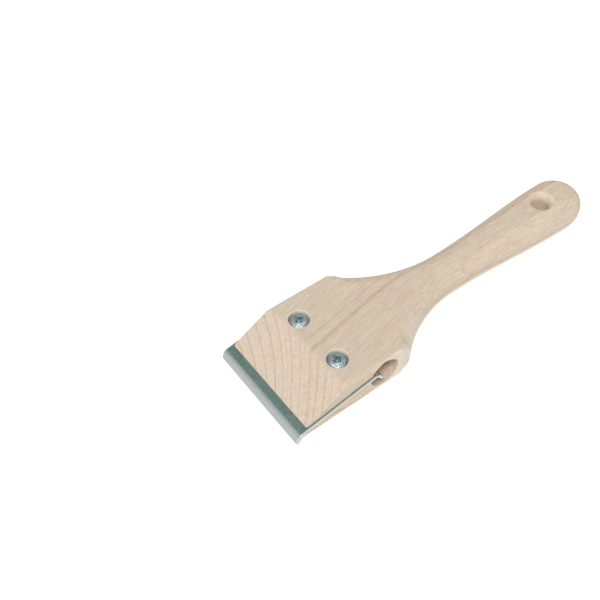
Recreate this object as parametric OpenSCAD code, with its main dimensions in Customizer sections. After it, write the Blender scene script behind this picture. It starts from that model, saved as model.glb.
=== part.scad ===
// Wood scraper: a beech handle with a sawn, springy jaw that clamps a double-ended hooked blade.
// X runs from the blade to the handle's end, Y across, Z up. The underside lies at Z = 0 and
// the origin is below the middle of the whole tool.

/* [Handle] */
// Thickness of the board that the handle is cut from
board_t = 20; // [19:0.5:22]
// Width of the head
head_w = 58; // [56:0.5:59]
// Distance from the upper jaw's edge to the shoulders
head_l = 61; // [59:0.5:65]
// Length of the wooden piece
wood_l = 207; // [197:0.5:227]
// Distance from the upper jaw's edge to the neck
neck_x = 109.5; // [106:0.5:120]
// Width of the neck
neck_w = 20; // [20:0.5:25]
// Width of the handle near its round end
end_w = 28.5; // [26:0.5:34]
// Radius of the rounding along the handle's edges
edge_r = 9.2; // [8:0.1:9.4]
// Radius that eases the long edges of the head
ease_r = 2.4; // [1.5:0.1:2.6]
// Distance before the shoulders where the rounding starts
runout_before = 5; // [2:0.5:6]
// Length over which the rounding grows to its full radius
runout_l = 8; // [7:0.5:12]
// Length over which the head's front corners are sanded round
corner_l = 3; // [2:0.5:5]
// Width that the sanding takes off those corners
corner_in = 0.6; // [0.4:0.1:1.5]

/* [Jaws] */
// Length of the slope on the upper jaw
bevel_l = 22.4; // [20:0.1:22.8]
// Height of the blunt edge at the foot of that slope
bevel_land = 0.4; // [0.3:0.1:1]
// Height of the kerf's upper face at the front edge
kerf_z = 7.1; // [6.9:0.1:7.3]
// Rise of the kerf towards the handle, in degrees
kerf_angle = 9.7; // [9.4:0.1:10]
// Width of the saw kerf
kerf_w = 1.7; // [1.6:0.05:1.8]
// Diameter of the cross bore that ends the kerf
bore_d = 16; // [15.5:0.5:16.5]
// Distance from the upper jaw's edge to the cross bore
bore_x = 45.5; // [45:0.1:45.7]
// Height of the cross bore's axis
bore_z = 10.5; // [10.2:0.1:10.8]

/* [Blade] */
// Width of the blade, along its cutting edges
blade_w = 60; // [59.5:0.1:61]
// Thickness of the blade
blade_t = 1.4; // [1.2:0.05:1.4]
// Length of the blade between its two bends
blade_flat = 42.6; // [42.2:0.1:43]
// Distance along the kerf from the front edge to the blade's middle
blade_s = 18.2; // [18:0.1:18.4]
// Outer radius of the bends
bend_r = 3.4; // [3.2:0.1:3.5]
// Angle through which each end is bent down
lip_angle = 63; // [60:1:66]
// Straight length of each lip, up to its ground edge
lip_l = 2.65; // [2.4:0.05:2.7]
// Length of the ground slope on each lip
grind_l = 0.8; // [0.6:0.1:0.85]
// Width of the two slots for the screws
slot_w = 6; // [5.6:0.1:7]
// Length of the two slots
slot_l = 32; // [31:0.5:34]

/* [Screws] */
// Distance from the upper jaw's edge to the screws
screw_x = 28.8; // [28.4:0.1:29.4]
// Distance between the two screws
screw_gap = 29; // [28:0.5:30]
// Diameter of the counterbores
sink_d = 10.6; // [10.4:0.1:11.5]
// Depth of the counterbores
sink_h = 4; // [3.8:0.1:4.2]
// Diameter of the screw heads
head_d = 9.6; // [9:0.1:10]
// Height of the screw heads
head_h = 3.8; // [3.5:0.1:3.9]
// Height of the heads' upright rim
rim_h = 2; // [1.6:0.1:2.2]
// Outer diameter of the screw thread
thread_d = 4.8; // [4.6:0.1:5]
// Diameter of the screw under its thread
root_d = 3.4; // [3.2:0.1:3.6]
// Pitch of the screw thread
pitch = 1.6; // [1.4:0.1:1.8]
// Length of the screws under their heads
screw_l = 13; // [12:0.5:13]
// Diameter of the screw holes
hole_d = 5.3; // [5.2:0.1:5.6]
// Depth of the screw holes below the top face
hole_depth = 17.6; // [17.4:0.1:18]
// Width of the wings of the cross recess
recess_w = 1.2; // [1:0.1:1.4]
// Span of the cross recess
recess_d = 5; // [4.4:0.1:5.4]
// Depth of the cross recess
recess_h = 2.4; // [2:0.1:2.6]

/* [Hanging hole] */
// Distance from the upper jaw's edge to the hanging hole
hang_x = 180; // [172:0.5:184]
// Diameter of the hanging hole
hang_d = 9; // [8:0.5:10]
// Diameter of its countersinks
hang_sink_d = 14.5; // [12:0.5:16]

/* [Hidden] */
$fn = 64;
beech = [0.85, 0.77, 0.68];
steel = [0.42, 0.53, 0.5];
zinc = [0.62, 0.68, 0.74];
// Space that a cutting shape reaches past the surface that it cuts
past = 2;
mid_z = board_t / 2;
head_r = head_w / 2;
neck_r = neck_w / 2;
end_r = end_w / 2;

// The shoulder is an arc from the head's corner to the neck, and the swell runs on to the round end
shoulder_dx = neck_x - head_l;
shoulder_dy = head_r - neck_r;
shoulder_r = (shoulder_dx * shoulder_dx + shoulder_dy * shoulder_dy) / (2 * shoulder_dy);
cap_x = wood_l - end_r;
runout_x = head_l - runout_before;
function arc_dy(x) = shoulder_r - sqrt(shoulder_r * shoulder_r - pow(neck_x - x, 2));
function swell(x) = (1 - cos(180 * (x - neck_x) / (cap_x - neck_x))) / 2;
function half_width(x) = x < head_l ? head_r
    : x < neck_x ? neck_r + arc_dy(x)
    : x < cap_x ? neck_r + (end_r - neck_r) * swell(x)
    : end_r;
// Slope of the outline in plan, eased in around the shoulder's corner
corner_ease = 2;
function slope(x) = x < head_l - corner_ease || x > neck_x ? 0
    : asin((neck_x - max(x, head_l)) / shoulder_r) * min(1, (x - head_l + corner_ease) / corner_ease / 2);
function runout(x) = min(1, max(0, (x - runout_x) / runout_l));
function edge(x) = ease_r + (edge_r - ease_r) * sin(90 * runout(x));

// One quarter of a cross-section at x: side, rounded edge, top. Past cap_x the handle is
// a disc with a rounded rim, so a section there is a slice of that disc, and min_flat keeps
// the two halves of its top apart.
quarter_steps = 8;
min_flat = 0.2;
function disc_angle(dx) = let (reach = sqrt(dx * dx + min_flat * min_flat))
    reach > end_r - edge_r ? acos((reach - end_r + edge_r) / edge_r) : 90;
function quarter_point(x, u) = x < cap_x
    ? let (r = edge(x), ry = min(r / cos(slope(x)), half_width(x)), a = 90 * u)
        [half_width(x) - ry * (1 - cos(a)), mid_z - r * (1 - sin(a))]
    : let (dx = x - cap_x, a = disc_angle(dx) * u, rho = end_r - edge_r * (1 - cos(a)))
        [sqrt(max(0, rho * rho - dx * dx)), mid_z - edge_r * (1 - sin(a))];
function quarter(x) = [for (i = [0 : quarter_steps]) quarter_point(x, i / quarter_steps)];
function flip(list) = [for (i = [len(list) - 1 : -1 : 0]) list[i]];
function ring(x) = let (q = quarter(x)) concat(
    [for (p = q) [p[0], mid_z + p[1]]],
    [for (p = flip(q)) [-p[0], mid_z + p[1]]],
    [for (p = q) [-p[0], mid_z - p[1]]],
    [for (p = flip(q)) [p[0], mid_z - p[1]]]);

// Stations of the cross-sections, closer together where the outline turns
runout_steps = 6;
corner_steps = 4;
shoulder_steps = 14;
swell_steps = 14;
cap_steps = 12;
cap_last = 87;
shoulder_start = runout_x + runout_l;
stations = concat(
    [for (i = [0 : runout_steps]) runout_x + runout_before * i / runout_steps],
    [for (i = [1 : corner_steps]) head_l + (shoulder_start - head_l) * i / corner_steps],
    [for (i = [1 : shoulder_steps]) shoulder_start + (neck_x - shoulder_start) * i / shoulder_steps],
    [for (i = [1 : swell_steps - 1]) neck_x + (cap_x - neck_x) * i / swell_steps],
    [for (i = [0 : cap_steps]) cap_x + end_r * sin(cap_last * i / cap_steps)]);
ring_n = 4 * (quarter_steps + 1);

// Blade outline in its own plane: s along the blade, n up from its top face
half_flat = blade_flat / 2;
bend_steps = 10;
function bend_point(r, a) = [half_flat + r * sin(a), -bend_r + r * cos(a)];
function lip_point(r, length) = bend_point(r, lip_angle) + length * [cos(lip_angle), -sin(lip_angle)];
lip_side = concat(
    [for (i = [0 : bend_steps]) bend_point(bend_r, lip_angle * i / bend_steps)],
    [lip_point(bend_r, lip_l), lip_point(bend_r - blade_t, lip_l + grind_l)],
    [for (i = [bend_steps : -1 : 0]) bend_point(bend_r - blade_t, lip_angle * i / bend_steps)]);
blade_outline = concat(lip_side, [for (p = flip(lip_side)) [-p[0], p[1]]]);
blade_drop = (kerf_w - blade_t) / 2;

// The hook's foremost point sets the tool's front end, and so its middle
tip = lip_point(bend_r, lip_l);
front_x = (blade_s - tip[0]) * cos(kerf_angle) - (tip[1] - blade_drop) * sin(kerf_angle);
middle_x = (front_x + wood_l) / 2;
seat_z = board_t - sink_h;
bevel_foot = kerf_z + bevel_land;

// Moves a shape from the upper jaw's edge to the tool's own origin
module from_front_edge() {
    translate([-middle_x, 0, 0]) children();
}

// Turns a shape drawn along X into the plane of the kerf, with the kerf's upper face at its top
module along_kerf() {
    translate([0, 0, kerf_z]) rotate([0, -kerf_angle, 0]) children();
}

// Extrudes an X-Z outline across the tool
module across(width) {
    rotate([90, 0, 0]) linear_extrude(width, center = true) children();
}

// Half of the head's front edge in plan, from its middle out to where the sanded corner ends
corner_steps_front = 6;
corner_r = (corner_l * corner_l + corner_in * corner_in) / (2 * corner_in);
corner_a = asin(corner_l / corner_r);
front_side = [for (i = [0 : corner_steps_front]) let (a = corner_a * (1 - i / corner_steps_front))
    [corner_l - corner_r * sin(a), head_r - corner_r * (1 - cos(a))]];

module head_block() {
    far_side = concat(front_side, [[runout_x, head_r]]);
    near_side = [for (p = flip(far_side)) [p[0], -p[1]]];
    intersection() {
        rotate([90, 0, 90]) linear_extrude(runout_x) polygon(ring(runout_x));
        linear_extrude(board_t) polygon(concat(far_side, near_side));
    }
}

module shaped_handle() {
    points = [for (x = stations) for (p = ring(x)) [x, p[0], p[1]]];
    last = len(stations) - 1;
    sides = [for (k = [0 : last - 1]) for (i = [0 : ring_n - 1])
        let (a = k * ring_n + i, b = k * ring_n + (i + 1) % ring_n)
        each [[a, a + ring_n, b], [b, a + ring_n, b + ring_n]]];
    front = [for (i = [0 : ring_n - 1]) i];
    back = [for (i = [ring_n - 1 : -1 : 0]) last * ring_n + i];
    polyhedron(points, concat(sides, [front, back]));
}

module bevel_cut() {
    rise = board_t - bevel_foot;
    run = past * bevel_l / rise;
    across(head_w + 2 * past)
        polygon([[-run, bevel_foot - past], [bevel_l + run, board_t + past], [-run, board_t + past]]);
}

module kerf_cut() {
    kerf_l = bore_x / cos(kerf_angle) + past;
    along_kerf() translate([-past, -head_r - past, -kerf_w]) cube([kerf_l, head_w + 2 * past, kerf_w]);
}

module cross_bore() {
    translate([bore_x, 0, bore_z]) rotate([90, 0, 0]) cylinder(h = head_w + 2 * past, d = bore_d, center = true);
}

module screw_hole(side) {
    translate([screw_x, side * screw_gap / 2, 0]) {
        translate([0, 0, seat_z]) cylinder(h = sink_h + past, d = sink_d);
        translate([0, 0, board_t - hole_depth]) cylinder(h = hole_depth, d = hole_d);
    }
}

module hanging_hole() {
    sink_depth = (hang_sink_d - hang_d) / 2;
    translate([hang_x, 0, 0]) {
        translate([0, 0, -past]) cylinder(h = board_t + 2 * past, d = hang_d);
        for (top = [0, 1])
            translate([0, 0, top * board_t]) mirror([0, 0, top])
                translate([0, 0, -past])
                    cylinder(h = sink_depth + past, d1 = hang_sink_d + 2 * past, d2 = hang_d);
    }
}

// One piece of beech: head with its two jaws, shoulders, neck and rounded end
module handle() {
    color(beech) from_front_edge() difference() {
        union() {
            head_block();
            shaped_handle();
        }
        bevel_cut();
        kerf_cut();
        cross_bore();
        for (side = [-1, 1]) screw_hole(side);
        hanging_hole();
    }
}

module slot(side) {
    reach = (slot_l - slot_w) / 2;
    translate([0, side * screw_gap / 2, -blade_t - past]) {
        for (end = [-1, 1]) translate([end * reach, 0, 0]) cylinder(h = blade_t + 2 * past, d = slot_w);
        translate([-reach, -slot_w / 2, 0]) cube([2 * reach, slot_w, blade_t + 2 * past]);
    }
}

// Steel strip with a hooked, ground edge at both ends, so it can be turned round when dull
module blade() {
    color(steel) from_front_edge() along_kerf() translate([blade_s, 0, -blade_drop]) difference() {
        across(blade_w) polygon(blade_outline);
        for (side = [-1, 1]) slot(side);
    }
}

// Outline of half a screw, from the dome down to the point
dome_steps = 8;
neck_l = 1.2;
point_l = 3;
turns = floor((screw_l - neck_l - point_l) / pitch);
thread_top = -screw_l + point_l + turns * pitch;
screw_outline = concat(
    [[0, -screw_l], [root_d / 2, -screw_l + point_l]],
    [for (i = [0 : turns - 1]) each [
        [thread_d / 2, thread_top - (turns - i - 0.5) * pitch],
        [root_d / 2, thread_top - (turns - i - 1) * pitch]]],
    [[root_d / 2, 0], [head_d / 2, 0]],
    [for (i = [0 : dome_steps]) let (a = 90 * i / dome_steps)
        [head_d / 2 * cos(a), rim_h + (head_h - rim_h) * sin(a)]]);

module cross_recess() {
    translate([0, 0, head_h - recess_h]) {
        for (turn = [0, 90]) rotate(turn)
            translate([-recess_d / 2, -recess_w / 2, 0]) cube([recess_d, recess_w, recess_h + past]);
        cylinder(h = recess_h + past, d = recess_d / 2);
    }
}

// Pan-head screw with a cross recess. Its head bears on the counterbore and its thread holds
// in the lower jaw, so turning it in closes the jaws on the blade.
module clamp_screw(side) {
    color(zinc) from_front_edge() translate([screw_x, side * screw_gap / 2, seat_z]) difference() {
        rotate_extrude() polygon(screw_outline);
        cross_recess();
    }
}

module screw_left() {
    clamp_screw(-1);
}

module screw_right() {
    clamp_screw(1);
}

handle();
blade();
screw_left();
screw_right();
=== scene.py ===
import math

import bmesh
import bpy
import numpy as np
from mathutils import Matrix, Vector


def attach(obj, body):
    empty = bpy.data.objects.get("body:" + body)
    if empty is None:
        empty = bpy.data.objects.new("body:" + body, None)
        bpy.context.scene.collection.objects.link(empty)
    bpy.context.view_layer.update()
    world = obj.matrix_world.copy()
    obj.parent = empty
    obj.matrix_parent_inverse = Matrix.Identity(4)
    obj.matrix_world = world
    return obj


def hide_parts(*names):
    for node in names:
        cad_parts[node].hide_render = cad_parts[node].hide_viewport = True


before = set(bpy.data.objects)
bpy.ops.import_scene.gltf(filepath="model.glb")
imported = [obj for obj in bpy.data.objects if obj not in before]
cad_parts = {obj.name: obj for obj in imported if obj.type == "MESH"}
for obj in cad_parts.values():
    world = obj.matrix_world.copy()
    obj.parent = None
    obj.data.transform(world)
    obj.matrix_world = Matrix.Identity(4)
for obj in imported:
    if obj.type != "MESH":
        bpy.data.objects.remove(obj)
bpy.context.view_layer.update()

# Sizes in mm, as in the part's source. X is counted from the upper jaw's front edge.
MM = 0.001
BOARD_T, HEAD_W, HEAD_L, WOOD_L = 20.0, 58.0, 61.0, 207.0
NECK_X, NECK_W, END_W = 109.5, 20.0, 28.5
EDGE_R, EASE_R, RUNOUT_BEFORE, RUNOUT_L = 9.2, 2.4, 5.0, 8.0
CORNER_L, CORNER_IN = 3.0, 0.6
BEVEL_L, BEVEL_FOOT = 22.4, 7.5
KERF_Z, KERF_ANGLE, KERF_W = 7.1, math.radians(9.7), 1.7
BORE_D, BORE_X, BORE_Z = 16.0, 45.5, 10.5
BLADE_W, BLADE_T, BLADE_FLAT, BLADE_S = 60.0, 1.4, 42.6, 18.2
BEND_R, LIP_ANGLE, LIP_L, GRIND_L = 3.4, math.radians(63), 2.65, 0.8
SLOT_W, SLOT_L = 6.0, 32.0
SCREW_X, SCREW_GAP, SINK_D, SINK_H = 28.8, 29.0, 10.6, 4.0
HEAD_D, HEAD_H, RIM_H = 9.6, 3.8, 2.0
THREAD_D, ROOT_D, PITCH, SCREW_L, NECK_L, POINT_L = 4.8, 3.4, 1.6, 13.0, 1.2, 3.0
HOLE_D, HOLE_DEPTH = 5.3, 17.6
RECESS_W, RECESS_D, RECESS_H = 1.2, 5.0, 2.4
HANG_X, HANG_D, HANG_SINK_D = 180.0, 9.0, 14.5

MID_Z = BOARD_T / 2
HEAD_R, NECK_R, END_R = HEAD_W / 2, NECK_W / 2, END_W / 2
SEAT_Z = BOARD_T - SINK_H
CAP_X = WOOD_L - END_R
COS_K, SIN_K = math.cos(KERF_ANGLE), math.sin(KERF_ANGLE)
TIP_S = BLADE_FLAT / 2 + BEND_R * math.sin(LIP_ANGLE) + LIP_L * math.cos(LIP_ANGLE)
TIP_N = -BEND_R + BEND_R * math.cos(LIP_ANGLE) - LIP_L * math.sin(LIP_ANGLE)
BLADE_DROP = (KERF_W - BLADE_T) / 2
FRONT_X = (BLADE_S - TIP_S) * COS_K - (TIP_N - BLADE_DROP) * SIN_K
MIDDLE_X = (FRONT_X + WOOD_L) / 2

# How far each finished surface lies inside its CAD solid
SKIN = 0.02

# Radii of the edges and rims that the CAD solids leave sharp
SHOULDER_R, FRONT_R, BEVEL_R = 0.5, 0.25, 0.5
BORE_RIM_R, KERF_RIM_R, HOLE_RIM_R, SINK_RIM_R = 0.35, 0.15, 0.15, 0.3
HANG_WAIST_R, HANG_RIM_R = 1.0, 0.8
HEAD_EDGE_R, RECESS_EDGE_R, SHANK_EDGE_R = 0.25, 0.12, 0.1
BLADE_EASE = 0.12


# ---------------------------------------------------------------- solids as distance functions


def meet(a, b, r):
    """What two solids share, with the edge between them rounded to radius r."""
    u, v = a + r, b + r
    return np.minimum(np.maximum(u, v), 0) + np.hypot(np.maximum(u, 0), np.maximum(v, 0)) - r


def cut(a, b, r):
    """Solid a with b taken out of it, and the new edges rounded to radius r."""
    return meet(a, -b, r)


def slope(x, z, start, end):
    """Distance above the line from start to end in the X-Z plane, on the side away from the wood's middle."""
    dx, dz = end[0] - start[0], end[1] - start[1]
    return (dx * (z - start[1]) - dz * (x - start[0])) / math.hypot(dx, dz)


def plan(x, y):
    """Distance outside the handle's outline in plan, for y >= 0."""
    dx, dy = NECK_X - HEAD_L, HEAD_R - NECK_R
    shoulder_r = (dx * dx + dy * dy) / (2 * dy)
    shoulder = shoulder_r - np.hypot(x - NECK_X, y - NECK_R - shoulder_r)
    head = meet(y - HEAD_R, shoulder, SHOULDER_R)
    turn = math.pi * np.clip((x - NECK_X) / (CAP_X - NECK_X), 0, 1)
    rise = math.pi * (END_R - NECK_R) / 2 / (CAP_X - NECK_X) * np.sin(turn)
    swell = (y - NECK_R - (END_R - NECK_R) * (1 - np.cos(turn)) / 2) / np.sqrt(1 + rise * rise)
    cap = np.hypot(x - CAP_X, y) - END_R
    return np.where(x < NECK_X, head, np.where(x < CAP_X, swell, cap))


def rounding(x):
    """Radius of the long edges: eased on the head, running out into the handle's full rounding."""
    t = np.clip((x - HEAD_L + RUNOUT_BEFORE) / RUNOUT_L, 0, 1)
    return EASE_R + (EDGE_R - EASE_R) * np.sin(math.pi / 2 * t)


def board(x, y, z):
    """The handle's outer form, for y >= 0, with its front corners and the slope on the upper jaw."""
    solid = meet(plan(x, y), np.abs(z - MID_Z) - MID_Z, rounding(x))
    corner_r = (CORNER_L**2 + CORNER_IN**2) / (2 * CORNER_IN)
    corner = np.hypot(x - CORNER_L, y - HEAD_R + corner_r) - corner_r
    at_corner = (x < CORNER_L) & (y > HEAD_R - corner_r)
    solid = meet(solid, np.maximum(-x, np.where(at_corner, corner, -x)), FRONT_R)
    return meet(solid, slope(x, z, (0, BEVEL_FOOT), (BEVEL_L, BOARD_T)), BEVEL_R)


def wood(p):
    """The beech handle, with its bore, kerf, screw holes and hanging hole."""
    x, y, z = p[:, 0], np.abs(p[:, 1]), p[:, 2]
    solid = cut(board(x, y, z), np.hypot(x - BORE_X, z - BORE_Z) - BORE_D / 2, BORE_RIM_R)
    n = (z - KERF_Z) * COS_K - x * SIN_K
    solid = cut(solid, np.maximum(np.abs(n + KERF_W / 2) - KERF_W / 2, x - BORE_X), KERF_RIM_R)
    off_axis = np.hypot(x - SCREW_X, y - SCREW_GAP / 2)
    solid = cut(solid, np.maximum(off_axis - HOLE_D / 2, BOARD_T - HOLE_DEPTH - z), HOLE_RIM_R)
    solid = cut(solid, np.maximum(off_axis - SINK_D / 2, SEAT_Z - z), SINK_RIM_R)
    off_wall = np.hypot(x - HANG_X, y) - HANG_D / 2
    sink = (off_wall - np.abs(z - MID_Z) + MID_Z - (HANG_SINK_D - HANG_D) / 2) / math.sqrt(2)
    solid = cut(solid, -meet(-off_wall, -sink, HANG_WAIST_R), HANG_RIM_R)
    return solid + SKIN


def cross_recess(x, y, z, off_axis):
    """A tapered cross with four thin ribs between its wings, as a driver leaves it."""
    wing_taper, span_taper = 0.25, 0.45
    rib_half, rib_share, core_share = 0.16, 0.72, 0.5
    deep = (HEAD_H - z) / RECESS_H
    span = RECESS_D / 2 * (1 - span_taper * deep)
    wing = np.minimum(np.abs(x), np.abs(y)) - RECESS_W / 2 * (1 - wing_taper * deep)
    rib = np.minimum(np.abs(x - y), np.abs(x + y)) / math.sqrt(2) - rib_half
    cross = np.minimum(np.maximum(wing, off_axis - span), np.maximum(rib, off_axis - rib_share * span))
    return np.maximum(np.minimum(cross, off_axis - core_share * span), HEAD_H - RECESS_H - z)


def threaded_shank(x, y, z, off_axis):
    """A pointed shank with a helical thread that grows out of a plain neck."""
    ridge_half, fade_l, into_head = 0.3, 0.8, 0.5
    turn = np.arctan2(y, x) / (2 * math.pi)
    phase = (z / PITCH - turn) % 1
    ridge = np.clip(1 - np.abs(phase - 0.5) / ridge_half, 0, 1)
    depth = (THREAD_D - ROOT_D) / 2
    fade = np.clip((-z - NECK_L) / fade_l, 0, 1)
    taper = np.clip((z + SCREW_L) / POINT_L, 0, 1)
    wall = off_axis - ROOT_D / 2 * taper - depth * ridge * fade * np.sqrt(taper)
    return meet(meet(wall, z - into_head, SHANK_EDGE_R), -z - SCREW_L, SHANK_EDGE_R)


def screw(p):
    """A pan-head screw on the Z axis, with its head's seat at z = 0."""
    x, y, z = p[:, 0], p[:, 1], p[:, 2]
    off_axis = np.hypot(x, y)
    dome_h = HEAD_H - RIM_H
    dome = np.sqrt((off_axis / HEAD_D * 2) ** 2 + (np.maximum(z - RIM_H, 0) / dome_h) ** 2) - 1
    head = cut(meet(dome * dome_h, -z, HEAD_EDGE_R), cross_recess(x, y, z, off_axis), RECESS_EDGE_R)
    # The thread's steep flanks make its distance too large, so it is scaled down
    return np.minimum(head, threaded_shank(x, y, z, off_axis) * 0.7) + SKIN


# ---------------------------------------------------------------- meshes


def gradient(shape, p):
    """Unit normals of the shape's distance at points p."""
    h = 0.01
    corners = np.array([[1, -1, -1], [-1, -1, 1], [-1, 1, -1], [1, 1, 1]], float)
    g = sum(np.outer(shape(p + h * c), c) for c in corners)
    return g / np.maximum(np.linalg.norm(g, axis=1, keepdims=True), 1e-9)


def lines(*stops):
    """Grid lines from (start, step) pairs and a last end."""
    made = []
    for (start, step), end in zip(stops[:-1], [s[0] for s in stops[1:-1]] + [stops[-1]]):
        count = max(1, round((end - start) / step))
        made.append(start + (end - start) * np.arange(count) / count)
    return np.append(np.concatenate(made), stops[-1])


def crossings(shape, axes, grid, value, d):
    """Where the surface crosses grid lines along axis d: points, the four cells round each, and quads."""
    search_steps = 4
    low, high = np.delete(value, -1, axis=d), np.delete(value, 0, axis=d)
    hit = np.argwhere((low < 0) != (high < 0))
    index = tuple(hit.T)
    v0, v1 = low[index], high[index]
    p = grid[index]
    step = axes[d][hit[:, d] + 1] - axes[d][hit[:, d]]
    t0, t1 = np.zeros(len(hit)), np.ones(len(hit))
    for _ in range(search_steps):
        t = np.clip((t0 * v1 - t1 * v0) / (v1 - v0), t0, t1)
        q = p.copy()
        q[:, d] += t * step
        v = shape(q)
        same = (v < 0) == (v0 < 0)
        t0, v0 = np.where(same, t, t0), np.where(same, v, v0)
        t1, v1 = np.where(same, t1, t), np.where(same, v1, v)
    around = []
    for e, f in ((0, 0), (-1, 0), (-1, -1), (0, -1)):
        c = hit.copy()
        c[:, (d + 1) % 3] += e
        c[:, (d + 2) % 3] += f
        around.append(np.ravel_multi_index(c.T, value.shape))
    around = np.stack(around, 1)
    return q, around, np.where((low[index] < 0)[:, None], around, around[:, ::-1])


def meeting_points(points, normals, row, cells):
    """For each cell, the point nearest to the planes through its crossings, drawn a little to their middle."""
    pull = 0.05

    def per_cell(w):
        return np.bincount(row, w, cells)

    count = per_cell(np.ones(len(row)))
    middle = np.stack([per_cell(points[:, k]) for k in range(3)], 1) / count[:, None]
    a = np.stack([[per_cell(normals[:, i] * normals[:, j]) for j in range(3)] for i in range(3)])
    a = a.transpose(2, 0, 1) + pull * count[:, None, None] * np.eye(3)
    reach = np.einsum("ij,ij->i", normals, points - middle[row])
    b = np.stack([per_cell(normals[:, k] * reach) for k in range(3)], 1)
    return middle + np.linalg.solve(a, b[:, :, None])[:, :, 0]


def contour(shape, axes):
    """Vertices and quads of the shape's surface, with a vertex on each edge or corner that a cell holds."""
    last_shift = 0.2
    grid = np.stack(np.meshgrid(*axes, indexing="ij"), -1)
    value = shape(grid.reshape(-1, 3)).reshape(grid.shape[:3])
    found = [crossings(shape, axes, grid, value, d) for d in range(3)]
    points, around, quads = (np.concatenate(part) for part in zip(*found))
    ids, row = np.unique(around.ravel(), return_inverse=True)
    normals = gradient(shape, points)
    verts = meeting_points(points.repeat(4, axis=0), normals.repeat(4, axis=0), row, len(ids))
    corner = np.stack(np.unravel_index(ids, value.shape), 1)
    low = np.stack([axes[k][corner[:, k]] for k in range(3)], 1)
    high = np.stack([axes[k][corner[:, k] + 1] for k in range(3)], 1)
    verts = np.clip(verts, low, high)
    off = np.clip(shape(verts), -last_shift, last_shift)
    verts -= off[:, None] * gradient(shape, verts)
    return verts, np.searchsorted(ids, quads)


def link(made):
    bpy.context.scene.collection.objects.link(made)
    return made


def new_object(name, verts, faces):
    """An object from points in mm, counted from the upper jaw's front edge."""
    mesh = bpy.data.meshes.new(name)
    metres = (np.asarray(verts) - [MIDDLE_X, 0, 0]) * MM
    mesh.from_pydata(metres.tolist(), [], np.asarray(faces).tolist())
    mesh.update()
    mesh.shade_smooth()
    return link(bpy.data.objects.new(name, mesh))


def shaped(name, shape, axes, at=(0, 0, 0)):
    """An object from a distance function, with its own normals, read just inside each face's corners."""
    inwards = 0.15
    verts, quads = contour(shape, axes)
    corners = verts[quads]
    inner = corners + inwards * (corners.mean(1, keepdims=True) - corners)
    normals = gradient(shape, inner.reshape(-1, 3))
    made = new_object(name, verts + np.array(at), quads)
    made.data.normals_split_custom_set(normals.tolist())
    return made


def make_handle():
    axes = [
        lines((-0.7, 0.25), (4, 0.5), (62, 0.9), (170, 0.6), 207.8),
        lines((-29.7, 0.5), 29.7),
        lines((-0.6, 0.4), (5.0, 0.2), (9.8, 0.45), (15, 0.35), 20.6),
    ]
    return shaped("handle_wood", wood, axes)


def make_screw(name, side):
    axes = [lines((-5.1, 0.14), 5.1), lines((-5.1, 0.14), 5.1), lines((-13.3, 0.16), (-0.4, 0.13), 4.1)]
    return shaped(name, screw, axes, at=(SCREW_X, side * SCREW_GAP / 2, SEAT_Z))


def blade_chains():
    """The blade's outer and inner surface in its own plane, as two lists of (s, n) from tip to tip."""
    bends, flats = 14, 6
    outer, inner = [], []
    for i in range(bends + 1):
        a = LIP_ANGLE * (1 - i / bends)
        for chain, r in ((outer, BEND_R), (inner, BEND_R - BLADE_T)):
            chain.append((BLADE_FLAT / 2 + r * math.sin(a), -BEND_R + r * math.cos(a)))
    for chain, r, length in ((outer, BEND_R, LIP_L), (inner, BEND_R - BLADE_T, LIP_L + GRIND_L)):
        s, n = BLADE_FLAT / 2 + r * math.sin(LIP_ANGLE), -BEND_R + r * math.cos(LIP_ANGLE)
        chain.insert(0, (s + length * math.cos(LIP_ANGLE), n - length * math.sin(LIP_ANGLE)))
    for chain, n in ((outer, 0.0), (inner, -BLADE_T)):
        half = list(chain)
        chain += [(BLADE_FLAT / 2 * (1 - 2 * i / flats), n) for i in range(1, flats)]
        chain += [(-s, m) for s, m in reversed(half)]
    return outer, inner


def inset(ring, by):
    """A closed outline moved inwards, along the mean of its sides' normals."""
    sharpest = 0.6
    ring = np.array(ring)
    side = np.roll(ring, -1, axis=0) - ring
    side /= np.linalg.norm(side, axis=1, keepdims=True)
    normal = np.stack([-side[:, 1], side[:, 0]], 1)
    mean = normal + np.roll(normal, 1, axis=0)
    mean /= np.maximum((mean * mean).sum(1, keepdims=True), sharpest) / 2
    return ring + by * mean


def on_kerf(s, y, up):
    """A point in mm that lies s along the kerf, y across it and up above its upper face."""
    return (s * COS_K - up * SIN_K, y, KERF_Z + s * SIN_K + up * COS_K)


def mended(made, close_ends=False):
    """The object with its faces pointing outwards, and its open ends closed where asked."""
    work = bmesh.new()
    work.from_mesh(made.data)
    if close_ends:
        bmesh.ops.holes_fill(work, edges=work.edges)
    bmesh.ops.recalc_face_normals(work, faces=work.faces)
    work.to_mesh(made.data)
    work.free()
    return made


def blade_strip():
    """The bent strip without its slots, its long edges eased along both cut sides."""
    outer, inner = blade_chains()
    ring = outer + inner[::-1]
    area = sum(a[0] * b[1] - b[0] * a[1] for a, b in zip(ring, ring[1:] + ring[:1]))
    inward = 1 if area > 0 else -1
    half = BLADE_W / 2 - SKIN
    near = [(-half, BLADE_EASE), (-half + BLADE_EASE / 3, BLADE_EASE / 3), (-half + BLADE_EASE, 0)]
    stations = near + [(-y, by) for y, by in reversed(near)]
    verts, faces, n = [], [], len(ring)
    for y, by in stations:
        for s, up in inset(ring, inward * (by + SKIN)):
            verts.append(on_kerf(s + BLADE_S, y, up - BLADE_DROP))
    for k in range(len(stations) - 1):
        for i in range(n):
            a, b = k * n + i, k * n + (i + 1) % n
            faces.append((a, a + n, b + n, b))
    last = (len(stations) - 1) * n
    for i in range(len(outer) - 1):
        faces.append((i, i + 1, n - 2 - i, n - 1 - i))
        faces.append((last + i, last + n - 1 - i, last + n - 2 - i, last + i + 1))
    return new_object("hook_blade", verts, faces)


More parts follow.
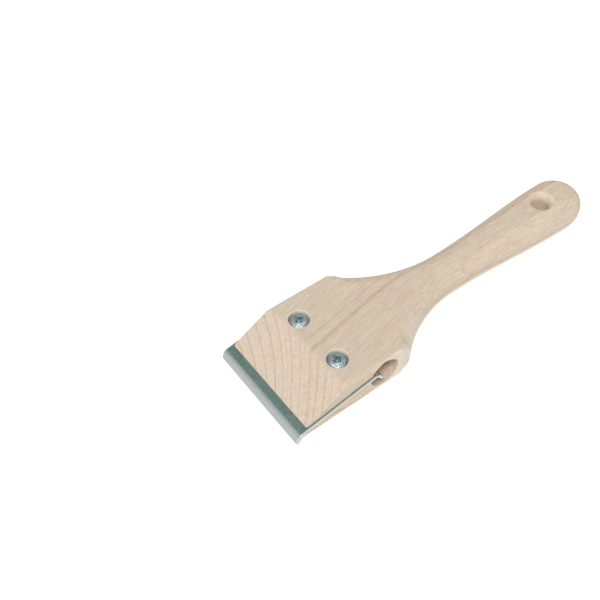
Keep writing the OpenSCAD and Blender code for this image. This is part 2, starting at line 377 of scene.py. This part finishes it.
def slot_cutter(side):
    """A long prism with round ends, square to the blade's flat."""
    steps, reach, past = 20, (SLOT_L - SLOT_W) / 2, 1
    outline = []
    for end in (1, -1):
        for i in range(steps + 1):
            a = math.pi * (i / steps - 0.5)
            outline.append((end * (reach + SLOT_W / 2 * math.cos(a)), end * SLOT_W / 2 * math.sin(a)))
    verts, n = [], len(outline)
    for up in (-BLADE_T - past, past):
        verts += [on_kerf(s + BLADE_S, y + side * SCREW_GAP / 2, up) for s, y in outline]
    faces = [(i, (i + 1) % n, n + (i + 1) % n, n + i) for i in range(n)]
    return mended(new_object("slot_cutter", verts, faces), close_ends=True)


def cut_out(made, cutter):
    """Takes the cutter's shape out of an object and deletes the cutter."""
    hole = made.modifiers.new("slot", "BOOLEAN")
    hole.object, hole.operation, hole.solver = cutter, "DIFFERENCE", "EXACT"
    graph = bpy.context.evaluated_depsgraph_get()
    mesh = bpy.data.meshes.new_from_object(made.evaluated_get(graph))
    made.modifiers.clear()
    made.data = mesh
    bpy.data.objects.remove(cutter)


def make_blade():
    made = blade_strip()
    for side in (-1, 1):
        cut_out(made, slot_cutter(side))
    mended(made).data.set_sharp_from_angle(angle=math.radians(25))
    return made


# ---------------------------------------------------------------- materials


class Shader:
    """A node tree that is written as nested calls: each call adds one node and gives one of its outputs."""

    def __init__(self, name):
        self.material = bpy.data.materials.new(name)
        self.material.use_nodes = True
        self.tree = self.material.node_tree
        self.tree.nodes.clear()
        self.coords = self.tree.nodes.new("ShaderNodeTexCoord")

    def put(self, socket, value):
        if isinstance(value, bpy.types.NodeSocket):
            self.tree.links.new(value, socket)
        else:
            socket.default_value = value

    def add(self, kind, out=0, options=None, **inputs):
        """Any node. Its inputs are named as Blender's, with _ for a space, or numbered i0, i1 and so on."""
        node = self.tree.nodes.new("ShaderNode" + kind)
        for key, value in (options or {}).items():
            setattr(node, key, value)
        for key, value in inputs.items():
            numbered = key[0] == "i" and key[1:].isdigit()
            self.put(node.inputs[int(key[1:]) if numbered else key.replace("_", " ")], value)
        return node.outputs[out]

    def math(self, operation, a, b=0.0):
        return self.add("Math", options={"operation": operation}, i0=a, i1=b)

    def plus(self, a, b):
        return self.math("ADD", a, b)

    def times(self, a, b):
        return self.math("MULTIPLY", a, b)

    def vector(self, operation, a, b=(0, 0, 0)):
        return self.add("VectorMath", options={"operation": operation}, i0=a, i1=b)

    def dot(self, a, b):
        return self.add("VectorMath", out=1, options={"operation": "DOT_PRODUCT"}, i0=a, i1=b)

    def length(self, a):
        return self.add("VectorMath", out=1, options={"operation": "LENGTH"}, i0=a)

    def parts(self, a):
        """The X, Y and Z of a vector."""
        split = self.tree.nodes.new("ShaderNodeSeparateXYZ")
        self.tree.links.new(a, split.inputs[0])
        return split.outputs

    def millimetres(self):
        """The point in mm, with x counted from the upper jaw's front edge."""
        scaled = self.vector("MULTIPLY", self.coords.outputs["Object"], (1 / MM, 1 / MM, 1 / MM))
        return self.vector("ADD", scaled, (MIDDLE_X, 0, 0))

    def facing(self, direction):
        """How far the surface faces a direction: 1 towards it, 0 square to it, -1 away from it."""
        return self.dot(self.coords.outputs["Normal"], direction)

    def either_way(self, value):
        return self.math("ABSOLUTE", value)

    def noise(self, at, stretch, detail=2.0, roughness=0.5):
        """Smooth noise of about 0 to 1 at points in mm, with stretch giving its waves per mm."""
        waves = self.vector("MULTIPLY", at, stretch)
        return self.add("TexNoise", Vector=waves, Scale=1.0, Detail=detail, Roughness=roughness)

    def noise_vector(self, at, stretch, detail):
        """Three such noises at once, as a vector."""
        waves = self.vector("MULTIPLY", at, stretch)
        return self.add("TexNoise", out=1, Vector=waves, Scale=1.0, Detail=detail)

    def span(self, value, low, high, to_low=0.0, to_high=1.0):
        """Maps low to high onto to_low to to_high, and holds what lies outside. High may be below low."""
        return self.add("MapRange", Value=value, From_Min=low, From_Max=high, To_Min=to_low, To_Max=to_high)

    def mix(self, factor, a, b):
        node = self.tree.nodes.new("ShaderNodeMix")
        node.data_type = "RGBA"
        for index, value in ((0, factor), (6, a), (7, b)):
            self.put(node.inputs[index], value)
        return node.outputs[2]

    def ramp(self, value, *stops):
        """A grey that follows (value, grey) stops."""
        node = self.tree.nodes.new("ShaderNodeValToRGB")
        ends = node.color_ramp.elements
        while len(ends) < len(stops):
            ends.new(1.0)
        for element, (at, shade) in zip(ends, stops):
            element.position, element.color = at, (shade, shade, shade, 1)
        self.put(node.inputs[0], value)
        return node.outputs[0]

    def bump(self, height, strength, distance):
        return self.add("Bump", Height=height, Strength=strength, Distance=distance * MM)

    def finish(self, **inputs):
        """The surface itself, with constant values on its own sockets."""
        surface = self.add("BsdfPrincipled", **inputs)
        output = self.tree.nodes.new("ShaderNodeOutputMaterial")
        self.tree.links.new(surface, output.inputs["Surface"])
        return self.material


def srgb(r, g, b):
    """A colour given as 8-bit screen values."""
    return tuple(((c / 255 + 0.055) / 1.055) ** 2.4 if c > 10 else c / 255 / 12.92 for c in (r, g, b)) + (1.0,)


BEECH_YELLOW, BEECH_ROSY, BEECH_END = srgb(215, 202, 177), srgb(213, 193, 174), srgb(222, 203, 190)
EARLY_WOOD, LATE_WOOD, HEART_STREAK = srgb(234, 220, 200), srgb(188, 152, 130), srgb(174, 138, 112)
GRAIN_DARK, FIBRE_PALE = srgb(188, 165, 139), srgb(232, 220, 200)
FLECK, PORE = srgb(164, 132, 106), srgb(176, 146, 120)
# The first colour on the next line is a painted sheen on the head's side faces.
# The second colour on the next line is pale new wood, brightened as painted light for the counterbore walls.
SIDE_SHEEN, FRESH_CUT_AND_LIGHT, FRESH_SHADE = srgb(232, 224, 214), srgb(255, 246, 230), srgb(188, 156, 124)
# The first colour on the next line is painted light for the hanging hole's wall.
HOLE_WALL_PAINTED_LIGHT, TORN_FIBRE = srgb(246, 228, 206), srgb(198, 172, 143)
FIGURE_RIM, FIGURE_PALE = srgb(168, 132, 100), srgb(220, 207, 184)
# Painted light among the steel colours: the dark one is a painted dark reflection on the flat, the bend one a
# painted highlight, the lip one a paler painted reflection and the side one a painted highlight on the cut
# sides.
STEEL_DARK_REFLECTION, STEEL_LIGHT, STEEL_BEND_HIGHLIGHT = srgb(91, 121, 116), srgb(149, 170, 163), srgb(196, 209, 205)
STEEL_LIP_REFLECTION, STEEL_LINE = srgb(176, 179, 179), srgb(190, 192, 192)
STEEL_WORN, STEEL_SIDE_HIGHLIGHT = srgb(206, 207, 202), srgb(206, 208, 205)
ZINC_DARK, ZINC_LIGHT, ZINC_MARK = srgb(143, 170, 176), srgb(216, 228, 230), srgb(96, 116, 122)
PALE_FLOOR = srgb(248, 248, 248)

# The growth rings are round about the pith, which lies below and beside the board and leans
PITH_Y, PITH_Z, PITH_LEAN, PITH_FROM_X = 45.0, -84.0, 0.168, 21.0
LEAN_END_X, LEAN_END_SOFT = 88.0, 30.0
RING_STEP, RING_START = 2.9, 0.80
# The two dark streaks on the top lie between these radii from the pith
STREAK_FROM, STREAK_TO = 111.75, 117.75
# Where the two pale figures on the handle's near side have their middles, and their half length and width
FIGURE_X, FIGURE_Y, FIGURE_L, FIGURE_W = (130.5, 176.5), -7.6, 18.5, 3.6


def leaning_grain(m, at):
    """The point's x, y and z in the tree: swayed a little, and moved with the pith where it leans."""
    sway = m.vector("SUBTRACT", m.noise_vector(at, (0.016, 0.05, 0.05), detail=2.0), (0.5, 0.5, 0.5))
    x, y, z = m.parts(m.vector("ADD", at, m.vector("MULTIPLY", sway, (0, 1.3, 1.3))))
    lean_x = m.add("Math", options={"operation": "SMOOTH_MIN"}, i0=x, i1=LEAN_END_X, i2=LEAN_END_SOFT)
    shift = m.times(m.math("SUBTRACT", lean_x, PITH_FROM_X), PITH_LEAN)
    return x, m.math("SUBTRACT", y, shift), z


def with_rings(m, colour, y, z, end_grain):
    """Growth rings, strong on cut faces and faint along the grain, and two dark streaks on the top."""
    dy, dz = m.math("SUBTRACT", y, PITH_Y), m.math("SUBTRACT", z, PITH_Z)
    radius = m.math("SQRT", m.plus(m.times(dy, dy), m.times(dz, dz)))
    uneven = m.add("TexNoise", Vector=m.add("CombineXYZ", X=radius), Scale=0.45, Detail=1.0)
    rings = m.plus(m.math("DIVIDE", radius, RING_STEP), m.times(uneven, 0.6))
    rings = m.math("FRACT", m.plus(rings, RING_START))
    early = m.ramp(
        rings, (0.0, 0.9), (0.14, 0.0), (0.56, 0.0), (0.66, 1.0), (0.8, 0.0), (0.97, 0.0), (1.0, 0.9)
    )
    late = m.ramp(
        rings, (0.0, 0.2), (0.08, 0.0), (0.38, 0.1), (0.45, 1.0), (0.53, 1.0), (0.6, 0.1), (0.84, 0.0),
        (0.9, 0.12), (0.96, 0.12),
    )
    streak = m.ramp(
        m.span(radius, STREAK_FROM, STREAK_TO),
        (0.0, 0.0), (0.06, 0.0), (0.14, 0.6), (0.2, 0.0), (0.42, 0.0), (0.5, 1.0), (0.6, 0.2), (0.7, 0.0),
    )
    colour = m.mix(m.times(early, m.span(end_grain, 0, 1, 0.05, 0.45)), colour, EARLY_WOOD)
    colour = m.mix(m.times(late, m.span(end_grain, 0, 1, 0.12, 0.6)), colour, LATE_WOOD)
    return m.mix(m.times(streak, m.span(end_grain, 0, 1, 0.62, 0)), colour, HEART_STREAK)


def with_side_sheen(m, colour, x, grain):
    """The head's side faces turn greyer and paler towards the shoulders, as a painted sheen that is patchy
    along the grain.
    """
    beside = m.span(m.either_way(m.facing((0, 1, 0))), 0.3, 0.8)
    near_shoulder = m.times(m.span(x, 36, 52), m.span(x, 84, 62))
    patchy = m.span(grain, 0.3, 0.7, 0.75, 0.35)
    # Painted sheen: the side faces are mixed towards a paler grey.
    return m.mix(m.times(m.times(beside, near_shoulder), patchy), colour, SIDE_SHEEN)


def with_fresh_cuts_and_light(m, colour, at, z):
    """Pale new wood and painted light in the upper part of the counterbores, where their walls would be lit,
    and less of it in the hanging hole's sink.
    """
    rough = m.span(m.noise(at, (0.8, 0.8, 1.6), detail=4.0, roughness=0.8), 0.42, 0.66)
    # The pale colour is partly new wood and partly painted light on the upper walls.
    fresh_and_light = m.mix(m.times(rough, 0.35), FRESH_CUT_AND_LIGHT, FRESH_SHADE)
    shallow = m.span(z, BOARD_T - 4, BOARD_T - 1.5)
    for hole_x, hole_y, hole_r, paleness in (
        (SCREW_X, SCREW_GAP / 2, SINK_D / 2, 1.0),
        (SCREW_X, -SCREW_GAP / 2, SINK_D / 2, 1.0),
        (HANG_X, 0, HANG_SINK_D / 2, 0.35),
    ):
        inside = m.span(off_upright_axis(m, at, hole_x, hole_y), hole_r + 0.35, hole_r + 0.05)
        colour = m.mix(m.times(inside, m.times(shallow, paleness)), colour, fresh_and_light)
    return colour


def off_upright_axis(m, at, x, y):
    """The point's distance from the upright line through x and y."""
    return m.length(m.vector("MULTIPLY", m.vector("SUBTRACT", at, (x, y, 0)), (1, 1, 0)))


def with_torn_fibres(m, colour, at):
    """Brown specks where the drill tore the wood in the cross bore and in the hanging hole, whose wall is
    painted paler as painted light.
    """
    off_hang = off_upright_axis(m, at, HANG_X, 0)
    off_bore = m.length(m.vector("MULTIPLY", m.vector("SUBTRACT", at, (BORE_X, 0, BORE_Z)), (1, 0, 1)))
    torn = m.span(m.noise(at, (0.7, 0.9, 0.7), detail=4.0, roughness=0.8), 0.45, 0.62, 0, 0.4)
    in_bore = m.span(off_bore, BORE_D / 2 + 0.3, BORE_D / 2 + 0.1)
    in_sink = m.span(off_hang, HANG_SINK_D / 2, HANG_SINK_D / 2 - 1)
    # The hanging hole's wall is painted paler: painted light.
    colour = m.mix(m.span(off_hang, HANG_D / 2 + 0.6, HANG_D / 2, 0, 0.5), colour, HOLE_WALL_PAINTED_LIGHT)
    return m.mix(m.times(torn, m.math("MAXIMUM", in_bore, in_sink)), colour, TORN_FIBRE)


def with_figure(m, colour, at, middle):
    """A long, pale, ragged oval with a darker rim, where the near side's rounding runs along a growth ring."""
    ragged = m.vector("MULTIPLY", m.noise_vector(at, (0.06, 0.3, 0.3), detail=3.0), (9.0, 2.2, 0))
    moved = m.vector("ADD", m.vector("ADD", at, ragged), (-middle - 4.5, -FIGURE_Y - 1.1, 0))
    reach = m.length(m.vector("MULTIPLY", moved, (1 / FIGURE_L, 1 / FIGURE_W, 0)))
    near_side = m.span(m.facing((0, -1, 0)), -0.05, 0.1)
    oval = m.times(m.span(reach, 1.0, 0.2), near_side)
    rim = m.ramp(oval, (0.0, 0.0), (0.12, 0.8), (0.26, 0.0))
    colour = m.mix(m.times(rim, 0.24), colour, FIGURE_RIM)
    return m.mix(m.span(oval, 0.14, 0.4, 0, 0.22), colour, FIGURE_PALE)


def beech():
    """Raw beech: growth rings round a leaning pith, straight grain, short dark flecks and soft patches."""
    m = Shader("raw_beech")
    at = m.millimetres()
    x, y, z = leaning_grain(m, at)
    along = m.add("CombineXYZ", X=x, Y=y, Z=z)
    end_grain = m.span(m.either_way(m.facing((1, 0, 0))), 0.15, 0.6)
    patches = m.noise(along, (0.03, 0.2, 0.2), detail=3.0)
    grain = m.noise(along, (0.045, 0.9, 0.9), detail=5.0, roughness=0.75)
    fibre = m.noise(along, (0.18, 1.2, 1.2), detail=4.0, roughness=0.8)
    flecks = m.ramp(m.noise(along, (0.13, 1.6, 1.6)), (0.0, 0.0), (0.57, 0.0), (0.74, 1.0))
    pores = m.ramp(m.noise(at, (0.9, 1.7, 1.7)), (0.0, 0.0), (0.5, 0.0), (0.75, 1.0))

    colour = m.mix(m.span(patches, 0.3, 0.7), BEECH_YELLOW, BEECH_ROSY)
    colour = m.mix(m.times(end_grain, 0.6), colour, BEECH_END)
    colour = with_rings(m, colour, y, z, end_grain)
    colour = m.mix(m.span(grain, 0.42, 0.66, 0, 0.46), colour, GRAIN_DARK)
    colour = m.mix(m.span(fibre, 0.42, 0.64, 0, 0.5), colour, FIBRE_PALE)
    colour = m.mix(m.times(flecks, m.span(end_grain, 0, 1, 0.30, 0.12)), colour, FLECK)
    colour = m.mix(m.times(pores, 0.16), colour, PORE)
    colour = with_side_sheen(m, colour, x, grain)
    colour = with_fresh_cuts_and_light(m, colour, at, z)
    colour = with_torn_fibres(m, colour, at)
    for middle in FIGURE_X:
        colour = with_figure(m, colour, at, middle)

    height = m.plus(m.times(grain, 0.7), m.times(m.plus(flecks, pores), -0.4))
    return m.finish(
        Base_Color=colour,
        Roughness=m.span(grain, 0.3, 0.7, 0.62, 0.78),
        Specular_IOR_Level=0.25,
        Normal=m.bump(height, 0.6, 0.14),
    )


def blade_steel():
    """Greenish strip steel with painted reflections: a dark painted reflection on the flat, a painted
    highlight along the bends, a paler painted reflection on the ground lips and bright painted highlights on
    the cut sides.
    """
    m = Shader("blade_steel")
    at = m.millimetres()
    brushing = m.noise(at, (3.0, 0.06, 3.0), detail=3.0, roughness=0.7)
    mottle = m.noise(at, (0.8, 0.8, 0.8), detail=4.0, roughness=0.75)
    facing_up = m.facing((-SIN_K, 0, COS_K))
    # Where the surface turns round the bends, for a painted highlight there.
    bend_highlight = m.span(facing_up, 0.995, 0.9)
    # Where the surface faces forward on the lips, for a painted reflection there.
    lip_reflection = m.span(facing_up, 0.8, 0.5)
    side = m.span(m.either_way(m.facing((0, 1, 0))), 0.6, 0.8)
    off_middle = m.either_way(m.dot(at, (0, 1, 0)))
    worn = m.span(m.plus(off_middle, m.times(mottle, 0.5)), BLADE_W / 2 - 0.6, BLADE_W / 2 - 0.2, 0, 0.7)
    lined = m.times(m.span(brushing, 0.35, 0.7), m.span(bend_highlight, 0, 1, 0.06, 0.4))

    # Painted dark reflection on the flat, mottled at random.
    colour = m.mix(m.span(mottle, 0.25, 0.75), STEEL_DARK_REFLECTION, STEEL_LIGHT)
    # Painted highlight along the bends.
    colour = m.mix(bend_highlight, colour, STEEL_BEND_HIGHLIGHT)
    # Paler painted reflection on the forward-facing lips.
    colour = m.mix(lip_reflection, colour, STEEL_LIP_REFLECTION)
    colour = m.mix(lined, colour, STEEL_LINE)
    colour = m.mix(worn, colour, STEEL_WORN)
    # Painted highlight on the cut sides, which face across the blade.
    colour = m.mix(side, colour, STEEL_SIDE_HIGHLIGHT)
    return m.finish(
        Base_Color=colour,
        Metallic=0.75,
        Roughness=m.span(mottle, 0.3, 0.7, 0.38, 0.5),
        Normal=m.bump(brushing, 0.3, 0.06),
    )


def zinc():
    """Bluish zinc plating, dulled and marked by the driver."""
    m = Shader("zinc_plate")
    at = m.millimetres()
    mottle = m.noise(at, (1.1, 1.1, 1.1), detail=4.0, roughness=0.7)
    marks = m.noise(at, (1.7, 1.7, 1.7), detail=3.0, roughness=0.65)
    colour = m.mix(m.span(mottle, 0.35, 0.65), ZINC_DARK, ZINC_LIGHT)
    colour = m.mix(m.span(marks, 0.45, 0.7, 0, 0.5), colour, ZINC_MARK)
    return m.finish(
        Base_Color=colour,
        Metallic=0.85,
        Roughness=m.span(mottle, 0.3, 0.7, 0.2, 0.4),
        Normal=m.bump(marks, 0.9, 0.4),
    )


def pale_floor():
    """A matt white surface, with a little light of its own so that it stays near white."""
    return Shader("pale_floor").finish(
        Base_Color=PALE_FLOOR, Roughness=0.9, Emission_Color=(1, 1, 1, 1), Emission_Strength=FLOOR_GLOW
    )


# ---------------------------------------------------------------- pieces, stage, camera

FLOOR_EDGE, FLOOR_Z, FLOOR_GLOW = 6.0, -0.0002, 0.24
WORLD_STRENGTH, SUN_STRENGTH, SUN_ANGLE = 0.41, 2.06, math.radians(16)
# Azimuth 0 looks at the part's near side, at -Y, and grows towards +X
SUN_AZIMUTH, SUN_ELEVATION = math.radians(-49), math.radians(62)
CAMERA_AZIMUTH, CAMERA_ELEVATION = math.radians(-35.928), math.radians(50.153)
CAMERA_ROLL = math.radians(-1.269)
CAMERA_TARGET, CAMERA_DISTANCE = (40.95, 30.24, MID_Z), 392.7
FOCAL_PX, IMAGE_PX, SENSOR_W = 787.3, 600, 36.0


def dress(piece, node, material):
    piece.data.materials.clear()
    piece.data.materials.append(material)
    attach(piece, node)
    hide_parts(node)


def make_stage():
    mesh = bpy.data.meshes.new("floor")
    corners = [(x * FLOOR_EDGE, y * FLOOR_EDGE, 0) for x, y in ((-1, -1), (1, -1), (1, 1), (-1, 1))]
    mesh.from_pydata(corners, [], [(0, 1, 2, 3)])
    floor = link(bpy.data.objects.new("floor", mesh))
    floor.location.z = FLOOR_Z
    floor.data.materials.append(pale_floor())


def towards(azimuth, elevation):
    """The direction from the part to a light or camera."""
    level = math.cos(elevation)
    return Vector((math.sin(azimuth) * level, -math.cos(azimuth) * level, math.sin(elevation)))


def make_sun():
    """An even, soft light from one direction."""
    light = bpy.data.lights.new("key", "SUN")
    light.energy, light.angle = SUN_STRENGTH, SUN_ANGLE
    lamp = link(bpy.data.objects.new("key", light))
    lamp.rotation_mode = "QUATERNION"
    lamp.rotation_quaternion = towards(SUN_AZIMUTH, SUN_ELEVATION).to_track_quat("Z", "Y")


def make_world():
    world = bpy.data.worlds.new("studio")
    world.use_nodes = True
    background = world.node_tree.nodes["Background"]
    background.inputs["Color"].default_value = (1, 1, 1, 1)
    background.inputs["Strength"].default_value = WORLD_STRENGTH
    bpy.context.scene.world = world


def make_camera():
    """The photograph's viewpoint, from points that were matched between the photograph and the part."""
    target = (Vector(CAMERA_TARGET) - Vector((MIDDLE_X, 0, 0))) * MM
    back = towards(CAMERA_AZIMUTH, CAMERA_ELEVATION)
    right = Vector((math.cos(CAMERA_AZIMUTH), math.sin(CAMERA_AZIMUTH), 0))
    up = back.cross(right)
    turned_right = math.cos(CAMERA_ROLL) * right + math.sin(CAMERA_ROLL) * up
    turned_up = math.cos(CAMERA_ROLL) * up - math.sin(CAMERA_ROLL) * right
    lens = bpy.data.cameras.new("camera")
    lens.sensor_fit, lens.sensor_width = "HORIZONTAL", SENSOR_W
    lens.lens = FOCAL_PX / IMAGE_PX * SENSOR_W
    lens.clip_start, lens.clip_end = 0.01, 20
    camera = link(bpy.data.objects.new("camera", lens))
    turned = Matrix((turned_right, turned_up, back)).transposed().to_4x4()
    camera.matrix_world = Matrix.Translation(target + back * CAMERA_DISTANCE * MM) @ turned
    bpy.context.scene.camera = camera


dress(make_handle(), "handle", beech())
dress(make_blade(), "blade", blade_steel())
zinc_plate = zinc()
for screw_name, screw_side in (("screw_left", -1), ("screw_right", 1)):
    dress(make_screw(screw_name + "_zinc", screw_side), screw_name, zinc_plate)
make_stage()
make_world()
make_sun()
make_camera()
bpy.context.scene.view_settings.view_transform = "Standard"
